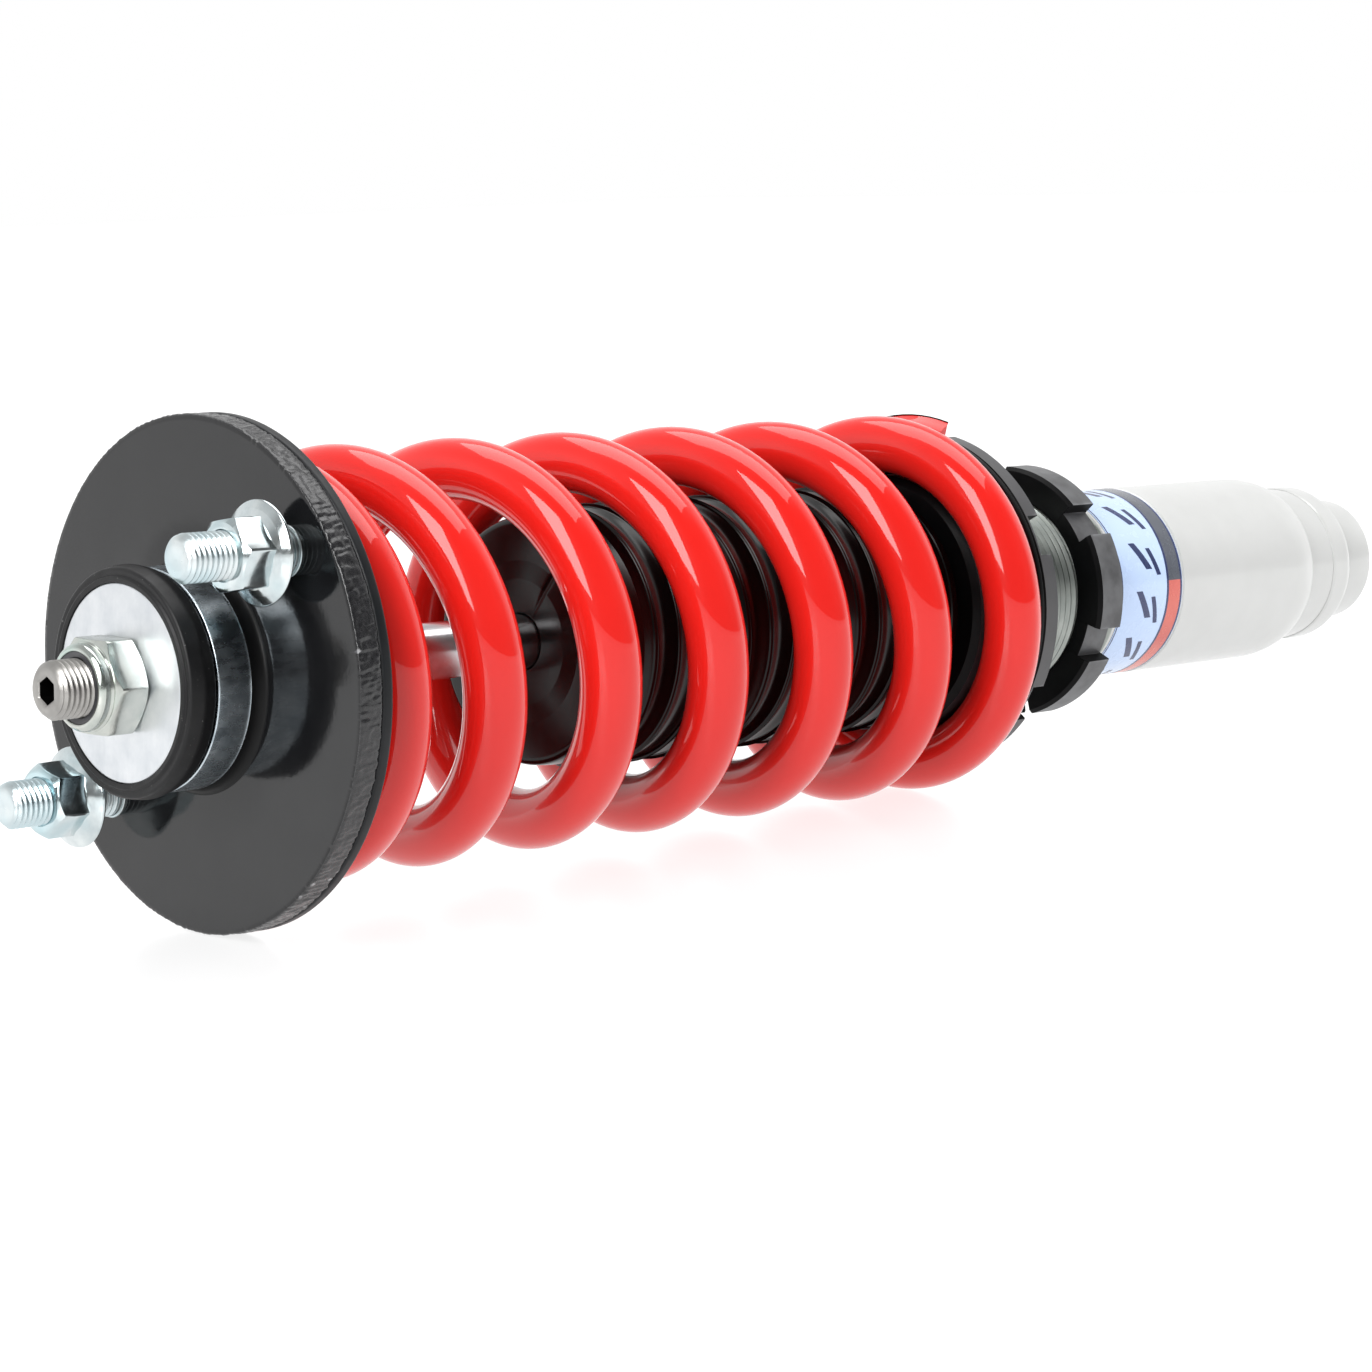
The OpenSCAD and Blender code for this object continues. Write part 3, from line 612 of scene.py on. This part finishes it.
def piston_rod():
    """The rod: a threaded end with a hex socket, then the chromed shaft and the piston's spigot."""
    rod_x0, rod_x1, shaft_r = span("piston_rod")
    thread_r, face_r, root_r = 6.0, 4.72, 5.28
    socket_depth, socket_flats = 5.0, 5.0
    shoulder_x, chrome_end, spigot_r = 14.5, 170.74, 5.0
    segments = 144

    def rod_end(x):
        """The end's chamfer, as the largest radius at x."""
        return 4.75 + (x - rod_x0) * 0.98 if x < rod_x0 + 1.3 else thread_r + 0.1

    bm = thread(rod_x0 + 0.55, washer_x0 + 3, thread_r, FINE_PITCH, 0.72, root_r, rod_end)
    columns = []
    for i in range(segments):
        a = TAU * i / segments
        inner = hex_radius(a, socket_flats, 90, 0.05)
        socket = [
            (rod_x0 + socket_depth, 0.02), (rod_x0 + socket_depth - 0.6, inner), (rod_x0 + 0.35, inner),
            (rod_x0 + 0.05, inner + 0.3), (rod_x0, inner + 0.42), (rod_x0, 4.45), (rod_x0 + 0.12, face_r),
            (rod_x0 + 0.55, root_r),
        ]
        columns.append([at_angle(x, r, a) for x, r in socket])
    skin(columns, closed=False, bm=bm)
    # The socket's inner faces take the near-black: painted shade deep in the recess
    for f in bm.faces:
        if max(v.co.yz.length for v in f.verts) < 3.0 and min(v.co.x for v in f.verts) > rod_x0 + 0.3:
            f.material_index = 1
    settle(bm, "rod_end_skin", ["turned", "socket_shade"], "top_mount", ["piston_rod"], 34)
    shaft = rounded([
        (washer_x0 + 2.9, 5.2), (washer_x0 + 3.1, thread_r), (shoulder_x, thread_r),
        (shoulder_x, shaft_r, 0.2), (chrome_end, shaft_r, 0.3), (chrome_end, spigot_r),
        (rod_x1, spigot_r, 0.8), (rod_x1, 0.02),
    ])
    bm = turned(shaft, segments, closed=False)
    settle(bm, "rod_shaft_skin", "chrome", "top_mount")


def studs_and_nuts():
    """Two studs across from each other, each with a flange nut at its own height."""
    circle_r, first_angle, reach = 40.75, 137.8, 26.6
    gaps, turns = (5.9, 8.3), (20, 48)
    thread_r, root_r = 4.98, 4.22
    nut_h, nut_flats, bore_r = 9.6, 14.0, 4.75
    segments = 112
    tip = -reach

    def stud_end(x):
        """The tip's chamfer, as the largest radius at x."""
        return 3.75 + (x - tip) * 0.95 if x < tip + 1.3 else 5.2

    def move_to_stud(bm, first, angle):
        """Moves the vertices made since first from the axis to a stud's place."""
        bm.verts.ensure_lookup_table()
        place_at = (0, circle_r * math.cos(angle), circle_r * math.sin(angle))
        bmesh.ops.translate(bm, vec=place_at, verts=bm.verts[first:])

    studs, nuts = bmesh.new(), bmesh.new()
    for n in range(2):
        angle = math.radians(first_angle + 180 * n)
        first = len(studs.verts)
        thread(tip + 0.5, -1.2, thread_r, FINE_PITCH, 0.70, root_r, stud_end, segments, studs)
        face = [
            (tip + 0.12, 0.02), (tip + 0.05, 1.2), (tip, 2.2), (tip, 3.5), (tip + 0.1, 3.75),
            (tip + 0.5, root_r),
        ]
        turned(face, segments, False, bm=studs)
        base = rounded([
            (-1.3, 4.2), (-1.1, 4.95, 0.1), (-0.3, 5.0), (-0.25, 5.25, 0.1), (0.05, 5.4), (0.3, 5.4),
        ])
        turned(base, segments, False, bm=studs)
        move_to_stud(studs, first, angle)
        first = len(nuts.verts)
        back = -gaps[n]
        hexagon(back - nut_h, back - 1.3, nut_flats, bore_r, turns[n] + 30, 6.6, bm=nuts, lean=40)
        flange = rounded([
            (back - 2.9, 6.3), (back - 2.7, 7.3, 0.5), (back - 1.9, 8.9, 1.6), (back - 0.95, 10.5, 0.5),
            (back - 0.5, 10.7, 0.3), (back - 0.1, 10.3, 0.3), (back, 9.2), (back - 0.15, 6.0), (back, 5.2),
            (back - 0.3, bore_r), (back - 3.0, bore_r),
        ])
        turned(flange, 192, bm=nuts)
        move_to_stud(nuts, first, angle)
    settle(studs, "studs_skin", "zinc_thread", "top_mount", ["mount_studs"], 34)
    settle(nuts, "stud_nuts_skin", "zinc", "top_mount", ["stud_nuts"], 24)


def spring_isolator():
    """A flat rubber ring with a raised inner lip that centres the spring."""
    x0, _, outer_r = span("spring_isolator")
    outer_r -= 0.1
    face_x, lip_r, bore_r = x0 + 2.8, 31.6, 29
    outline = rounded([
        (x0, bore_r), (x0, outer_r, 0.7), (face_x, outer_r, 0.9), (face_x, lip_r, 0.8),
        (face_x + 4, lip_r, 0.9), (face_x + 4, bore_r, 0.5),
    ])
    bm = turned(outline, 240)
    settle(bm, "isolator_skin", "isolator", "top_mount", ["spring_isolator"])


top_plate()
bushing_housing()
upper_bushing()
upper_washer()
rod_nut()
piston_rod()
studs_and_nuts()
spring_isolator()

# ---------------------------------------------------------------- coil spring

WIRE_R, COIL_MEAN_R = 6.7, 39.0
# The angle in degrees where the wire starts, and how much of it is ground off at the end
COIL_START, COIL_GRIND = 137.0, 3.3
# The spring is drawn in stretches: the turns in each, and how far the wire climbs over each
COIL_TURNS = [1, 0.87, 1, 1, 1, 1, 1, 1.04]
COIL_RISES = [13.5, 19.9, 33.2, 31.4, 33.8, 31.5, 38, 14.3]
coil_x0, coil_x1, _ = span("coil_spring")
coil_knots = [(0.0, coil_x0 - COIL_GRIND)]
for step, rise in zip(COIL_TURNS, COIL_RISES):
    coil_knots.append((coil_knots[-1][0] + step, coil_knots[-1][1] + rise))


def coil_x(t):
    """Where the wire is along X after t turns, climbing evenly between the knots."""
    t = min(max(t, 0.0), coil_knots[-1][0])
    for (t0, x0), (t1, x1) in zip(coil_knots, coil_knots[1:]):
        if t <= t1:
            return x0 + (x1 - x0) * (t - t0) / (t1 - t0)
    return coil_knots[-1][1]


def coil_out(t):
    """The direction from the axis to the wire after t turns."""
    a = math.radians(COIL_START + 360 * t)
    return Vector((0, math.cos(a), math.sin(a)))


def coil_centre(t):
    """The wire's centre after t turns, with the knots smoothed away."""
    x = sum(w * coil_x(t + d) for d, w in ((-0.16, 1), (-0.08, 2), (0, 2), (0.08, 2), (0.16, 1))) / 8
    return Vector((x, 0, 0)) + coil_out(t) * COIL_MEAN_R


def coil_spring():
    """The red spring, ground flat at both ends."""
    total = coil_knots[-1][0]
    steps, sides = round(total * 96), 40
    rings = []
    for s in range(steps + 1):
        t = total * s / steps
        centre, out = coil_centre(t), coil_out(t)
        side = (coil_centre(t + 0.01) - coil_centre(t - 0.01)).normalized().cross(out)
        ring = []
        for i in range(sides):
            b = TAU * i / sides
            p = centre + (out * math.cos(b) + side * math.sin(b)) * WIRE_R
            p.x = min(max(p.x, coil_x0 + 0.02), coil_x1 - 0.02)
            ring.append(p)
        rings.append(ring)
    bm = skin(rings, around=False)
    bm.verts.ensure_lookup_table()
    for end in (bm.verts[:sides], bm.verts[-sides:]):
        bm.faces.new(end)
    spring = settle(bm, "coil_spring_skin", "red", "top_mount", ["coil_spring"], 38)
    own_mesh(spring)


coil_spring()

# ---------------------------------------------------------------- dust boot

boot_x0, boot_x1, _ = span("dust_boot")
BOOT_FOLDS = 14
# Places within one fold, closer together towards the crest in its middle
HALF_FOLD = [0, 0.08, 0.17, 0.26, 0.34, 0.38, 0.41, 0.435, 0.455, 0.47, 0.485]
skirt_x = boot_x0 + 10.3
foot_x = boot_x1 - 3


def fold_r(share):
    """A shallow fold with a narrow bead along its crest."""
    return 28.5 - 0.28 * math.cos(TAU * share) + 0.75 * math.exp(-((share - 0.5) / 0.045) ** 2)


def cap_crease(x, r, a):
    """A few faint moulded creases run across the cap."""
    if x < boot_x0 + 2.2 and 8 < r < 26:
        for crease in (0.07, 2.16):
            gap = abs((a - crease + math.pi) % TAU - math.pi) * r
            x += 0.22 * math.exp(-(gap / 0.55) ** 2)
    return x, r


def dust_boot():
    """A cap round the rod, then a skirt of shallow folds with a plain foot."""
    bore_r, cap_under_x = 6.4, boot_x0 + 2.4
    shares = HALF_FOLD + [0.5] + [1 - share for share in reversed(HALF_FOLD[1:])]
    pitch = (foot_x - skirt_x) / BOOT_FOLDS
    outer = [(skirt_x + pitch * (n + share), fold_r(share)) for n in range(BOOT_FOLDS) for share in shares]
    inner = [(skirt_x + pitch * n / 2, 27.1 - 0.5 * (-1) ** n) for n in range(BOOT_FOLDS * 2 - 1, -1, -1)]
    cap = rounded([
        (cap_under_x, bore_r), (boot_x0, bore_r, 0.4), (boot_x0, 14.0, 2.0), (boot_x0 + 0.45, 18.0, 2.0),
        (boot_x0 + 0.3, 27.4, 1.8), (boot_x0 + 6.0, 27.9, 2.0), (skirt_x - 0.8, 26.9, 0.6),
    ])[1:]
    foot = [
        (foot_x, fold_r(0)), (foot_x + 0.5, 27.6), (foot_x + 0.9, 28.0), (boot_x1 - 0.4, 28.0),
        (boot_x1, 27.6), (boot_x1, 26.4), (foot_x + 0.6, 26.2),
    ]
    under = [(boot_x0 + 4, 25.8), (cap_under_x, 24.6), (cap_under_x, bore_r + 0.15)]
    bm = turned(cap + outer[1:] + foot + inner + under, 240, shape=cap_crease)
    settle(bm, "dust_boot_skin", "boot", "boot_and_stop", ["dust_boot"], 40)


dust_boot()

# ---------------------------------------------------------------- damper body

tube_x0, tube_x1, body_r = span("body_tube")
label_x0, label_x1, label_r = span("label_band")
relieved_r = label_r - 0.2
thread_x0, thread_x1 = 196.0, label_x0 - 3


def arc(x, r, across, up, step):
    """A quarter round from (x, r + up) to (x + across, r)."""
    turns = [math.radians(a) for a in range(0, 91, step)]
    return [(x + across * math.sin(a), r + up * math.cos(a)) for a in turns]


def body_thread():
    """The tube's thread and the plain stretch above it, under the boot."""
    root_r = relieved_r - 0.4
    bm = thread(thread_x0, thread_x1, body_r, 2.0, 1.0, root_r, segments=288)
    upper = rounded([
        (tube_x0, 21), (tube_x0, relieved_r, 0.8), (thread_x0 - 0.6, relieved_r), (thread_x0, root_r),
    ])
    turned(upper, 288, False, bm=bm)
    settle(bm, "body_thread_skin", "thread", "damper_body", ["body_tube"], 34)


def lower_body():
    """The painted body below the thread: a round shoulder, a bead, and a grooved spigot."""
    neck_r, bead_r, spigot_r = 20.2, 20.6, 16.1
    bead_x0, bead_x1 = tube_x1 + 20.4, tube_x1 + 27
    groove_x0, groove_x1, groove_r = tube_x1 + 31.5, tube_x1 + 34.5, 15.1
    cap_x1 = span("lower_cap")[1]
    outline = [
        (thread_x1, relieved_r - 0.4), (thread_x1 + 0.5, relieved_r), (label_x1 + 0.5, relieved_r),
        (label_x1 + 0.8, body_r - 0.02), (tube_x1 - 4, body_r),
        *arc(tube_x1, neck_r, 11, body_r - neck_r, 5),
        *rounded([(bead_x0, neck_r, 0.6), (bead_x0 + 1.8, bead_r, 0.8), (bead_x1 - 1, bead_r)]),
        *arc(bead_x1, spigot_r, 4, bead_r - spigot_r, 9),
        *rounded([
            (groove_x0, spigot_r, 0.15), (groove_x0 + 0.4, groove_r, 0.2), (groove_x1 - 0.4, groove_r, 0.2),
            (groove_x1, spigot_r, 0.15), (cap_x1 - 1.2, spigot_r, 0.4), (cap_x1, spigot_r - 1.2, 0.4),
            (cap_x1, 4.0, 0.3), (cap_x1 - 3, 4.0),
        ]),
    ]
    bm = turned(outline, 288, False)
    settle(bm, "lower_body_skin", "silver", "damper_body", ["lower_cap"])


def patch(bm, x0, x1, a0, a1, lean=0.0):
    """A thin print on the label, from angle a0 to a1 in degrees, leaning along X by lean millimetres."""
    r = label_r - 0.02
    steps = max(1, round(abs(a1 - a0) / 3))
    columns = []
    for i in range(steps + 1):
        a = math.radians(a0 + (a1 - a0) * i / steps)
        shift = lean * i / steps
        columns.append([at_angle(x + shift, r, a) for x in (x0, x1)])
    skin(columns, False, False, bm)


def label():
    """A blue film with a bordered stripe on its tail side, and plain bars where a name would be."""
    film_x0, film_r = label_x0 - 1.5, label_r - 0.05
    edge_x0 = film_x0 + 0.3
    stripe_x0, stripe_x1 = label_x1 - 5.5, label_x1 - 0.9
    outline = rounded([
        (film_x0, relieved_r), (film_x0, film_r, 0.05), (label_x1, film_r, 0.05), (label_x1, relieved_r),
    ])
    settle(turned(outline, 288), "label_skin", "label", "damper_body", ["label_band"])
    bm = bmesh.new()
    for x0, x1 in ((stripe_x0 - 0.8, stripe_x0), (stripe_x1, stripe_x1 + 0.7), (edge_x0, edge_x0 + 0.4)):
        patch(bm, x0, x1, 0, 360)
    settle(bm, "label_border", "label_navy", "damper_body")
    for name, a0, a1 in (("grey", 30, 175), ("coral", 175, 390)):
        bm = bmesh.new()
        patch(bm, stripe_x0, stripe_x1, a0, a1)
        settle(bm, "label_stripe_" + name, "label_" + name, "damper_body")
    bm = bmesh.new()
    for start in range(0, 360, 30):
        patch(bm, label_x0 + 4.5, label_x0 + 6.9, start, start + 17, 4.5)
        patch(bm, label_x0 + 10.5, label_x0 + 12.1, start + 4, start + 21, 2.5)
    settle(bm, "label_bars", "label_navy", "damper_body")


body_thread()
lower_body()
label()

# ---------------------------------------------------------------- perch, washer and lock ring

ADJUSTER_BORE_R = 24.05


def seat_washer():
    """The flat washer between the spring's end and the perch."""
    x0, x1, outer_r = span("seat_washer")
    outline = rounded([(x0, 31.6), (x0, outer_r, 0.3), (x1, outer_r, 0.3), (x1, 31.6)])
    bm = turned(outline, 240)
    settle(bm, "seat_washer_skin", "anodised", "spring_seat", ["seat_washer"])


def notched(full, cut, width, turn, depth_r, name, body, node):
    """A black ring with six parallel-sided notches: outline full, and outline cut within a notch.

    Both outlines have the same points, so that the columns can be joined. turn is one notch's middle in
    degrees, and within depth_r of the axis the notches' sides keep their angle.
    """
    count = 6
    pitch = TAU / count
    steps = 48
    columns = []

    def gap(r):
        """Half the angle that a notch takes up at radius r."""
        return math.asin(width / 2 / max(r, depth_r))

    def column(outline, angle_of):
        columns.append([at_angle(x, r, angle_of(r)) for x, r in outline])

    for n in range(count):
        middle = math.radians(turn) + pitch * n
        column(full, lambda r: middle - gap(r))
        for k in range(-5, 6):
            column(cut, lambda r: middle + gap(r) * k / 5)
        column(full, lambda r: middle + gap(r))
        for k in range(1, steps):
            column(full, lambda r: middle + gap(r) + (pitch - 2 * gap(r)) * k / steps)
    bm = skin(columns)
    bmesh.ops.recalc_face_normals(bm, faces=bm.faces)
    bm.normal_update()
    # Faces that look outward on the rim take the lighter copy of the black: painted light on the rim, while
    # the other faces stay plain black
    for f in bm.faces:
        centre = f.calc_center_median()
        out = Vector((0, centre.y, centre.z)).normalized()
        if abs(f.normal.x) < 0.5 and f.normal.dot(out) > 0.2 and centre.yz.length > 26:
            f.material_index = 1
    settle(bm, name, ["anodised", "anodised_lit_rim"], body, [node], 30, bevel=0.3)


def spring_perch():
    """A notched flange with a hub that stands inside the spring's last coil."""
    x0, x1, outer_r = span("spring_perch")
    hub_r, rim_x0 = 31.3, x1 - 5.4
    notch_x0 = rim_x0 + 1.4

    def outline(r):
        """The perch cut back to radius r from the notches' start to its lower face."""
        return [
            (x0, ADJUSTER_BORE_R), (x0, hub_r - 1.5), (x0 + 1.5, hub_r), (rim_x0, hub_r),
            (rim_x0, outer_r - 0.8), (rim_x0 + 0.8, outer_r), (notch_x0, outer_r), (notch_x0, r),
            (x1 - 0.4, r), (x1, r - 0.4), (x1, 33.5), (x1, ADJUSTER_BORE_R),
        ]

    notched(outline(outer_r), outline(outer_r - 5), 10.07, 153.6, 36.0, "perch_skin", "perch", "spring_perch")


def lock_ring():
    """A notched nut with a light chamfer and a countersunk bore."""
    x0, x1, outer_r = span("lock_ring")

    def outline(r, chamfer):
        """The ring's section with its outside at radius r."""
        return [
            (x0, ADJUSTER_BORE_R), (x0, r - chamfer), (x0 + chamfer, r), (x1 - 0.4, r), (x1, r - 0.4),
            (x1, 26.0), (x1 - 0.6, 24.6), (x1 - 0.6, ADJUSTER_BORE_R),
        ]

    full, cut = outline(outer_r, 0.9), outline(outer_r - 3.4, 0.1)
    notched(full, cut, 8.83, 141.5, 28.0, "lock_ring_skin", "ring", "lock_ring")


seat_washer()
spring_perch()
lock_ring()

# ---------------------------------------------------------------- CAD nodes that keep their shape

KEPT = {
    "lower_bushing": "rubber", "bushing_sleeve": "steel", "lower_washer": "zinc", "rebound_bumper": "rubber",
    "piston": "steel", "piston_band": "band", "compression_shims": "steel", "rebound_shims": "steel",
    "piston_nut": "zinc", "bump_stop": "foam", "fill_plug": "zinc", "gland_nut": "steel",
    "rod_wiper": "rubber", "rod_guide": "alu", "rod_seal": "rubber", "guide_oring": "rubber",
    "floating_piston": "alu", "floating_oring": "rubber",
}
for node, name in KEPT.items():
    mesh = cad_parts[node].data
    if not mesh.materials:
        mesh.materials.append(MATERIALS[name])
    for i in range(len(mesh.materials)):
        mesh.materials[i] = MATERIALS[name]

# ---------------------------------------------------------------- stage: floor, lights and camera

scene = bpy.context.scene
scene.view_settings.view_transform = "Standard"
scene.view_settings.look = "None"


def lay_floor():
    """A pale floor that the part lies on: the plate's rim and the spring's lower end touch it."""
    plate_reach, coil_reach, coil_at = 53.6, 45.8, 213.0
    mat, tree, shader = material("floor_pale", (0.22, 0.22, 0.221), 0.0, 0.25, specular=0.25)
    shader.inputs["Emission Color"].default_value = (1, 1, 1, 1)
    shader.inputs["Emission Strength"].default_value = 0.79
    clouds = grain(tree, place(tree), 3, 3)
    tone = ramp(tree, clouds, [(0.3, (0.21, 0.21, 0.211)), (0.7, (0.23, 0.23, 0.231))])
    tree.links.new(tone, shader.inputs["Base Color"])
    bm = bmesh.new()
    bmesh.ops.create_grid(bm, x_segments=8, y_segments=8, size=6)
    mesh = bpy.data.meshes.new("floor")
    bm.to_mesh(mesh)
    bm.free()
    mesh.materials.append(mat)
    floor = bpy.data.objects.new("floor", mesh)
    scene.collection.objects.link(floor)
    floor.location = (0, 0, -plate_reach * MM)
    floor.rotation_euler = (0, -math.atan2(plate_reach - coil_reach, coil_at), 0)


def studio_world():
    """A bright backdrop and sides, a darker room in front and above. The camera sees plain white."""
    world = bpy.data.worlds.new("studio")
    scene.world = world
    world.use_nodes = True
    tree = world.node_tree
    background = tree.nodes["Background"]
    background.inputs["Color"].default_value = (1, 1, 1, 1)

    def smooth_step(source, values):
        """Maps source smoothly from (from, from) to (to, to)."""
        sockets = dict(zip(("From Min", "From Max", "To Min", "To Max"), values))
        node = add(tree, "ShaderNodeMapRange", sockets, interpolation_type="SMOOTHSTEP")
        tree.links.new(source, node.inputs["Value"])
        return node.outputs["Result"]

    def combine(operation, a, b):
        node = add(tree, "ShaderNodeMath", operation=operation)
        tree.links.new(a, node.inputs[0])
        tree.links.new(b, node.inputs[1])
        return node.outputs["Value"]

    sky = add(tree, "ShaderNodeTexCoord").outputs["Generated"]
    facing = add(tree, "ShaderNodeVectorMath", {1: (0.35, 0.94, 0.0)}, operation="DOT_PRODUCT")
    tree.links.new(sky, facing.inputs[0])
    split = add(tree, "ShaderNodeSeparateXYZ")
    tree.links.new(sky, split.inputs["Vector"])
    behind = smooth_step(facing.outputs["Value"], (-0.35, 0.15, 0.14, 1.0))
    below = smooth_step(split.outputs["Z"], (0.30, 0.85, 1.0, 0.50))
    camera_ray = add(tree, "ShaderNodeLightPath").outputs["Is Camera Ray"]
    strength = combine("MAXIMUM", combine("MULTIPLY", behind, below), camera_ray)
    tree.links.new(strength, background.inputs["Strength"])


def softbox(name, where, size, power):
    """A rectangular area light that faces the middle of the part."""
    data = bpy.data.lights.new(name, "AREA")
    data.shape = "RECTANGLE"
    data.size, data.size_y = size
    data.energy = power
    light = bpy.data.objects.new(name, data)
    light.location = where
    light.rotation_euler = (Vector((0.17, 0.0, 0.0)) - Vector(where)).to_track_quat("-Z", "Y").to_euler()
    scene.collection.objects.link(light)
    return light


def set_camera():
    """The camera looks along a heading and a height angle, a little down onto the plate's end."""
    data = bpy.data.cameras.new("camera")
    data.lens, data.sensor_width = 96.8, 36.0
    data.clip_start, data.clip_end = 0.02, 50
    camera = bpy.data.objects.new("camera", data)
    az, el = math.radians(-44.39), math.radians(7.05)
    back = Vector((math.sin(az) * math.cos(el), -math.cos(az) * math.cos(el), math.sin(el)))
    camera.location = (-0.4506, -0.6034, 0.0902)
    camera.rotation_euler = (-back).to_track_quat("-Z", "Y").to_euler()
    scene.collection.objects.link(camera)
    scene.camera = camera


lay_floor()
studio_world()
softbox("left_box", (-0.80, -0.30, 0.55), (0.50, 0.95), 11.0)
softbox("top_box", (0.35, 0.10, 1.10), (1.3, 0.9), 9.0)
# The right box only fills shadows: it draws no highlight
softbox("right_box", (0.96, -0.86, 0.50), (1.0, 0.9), 8.6).visible_glossy = False
set_camera()
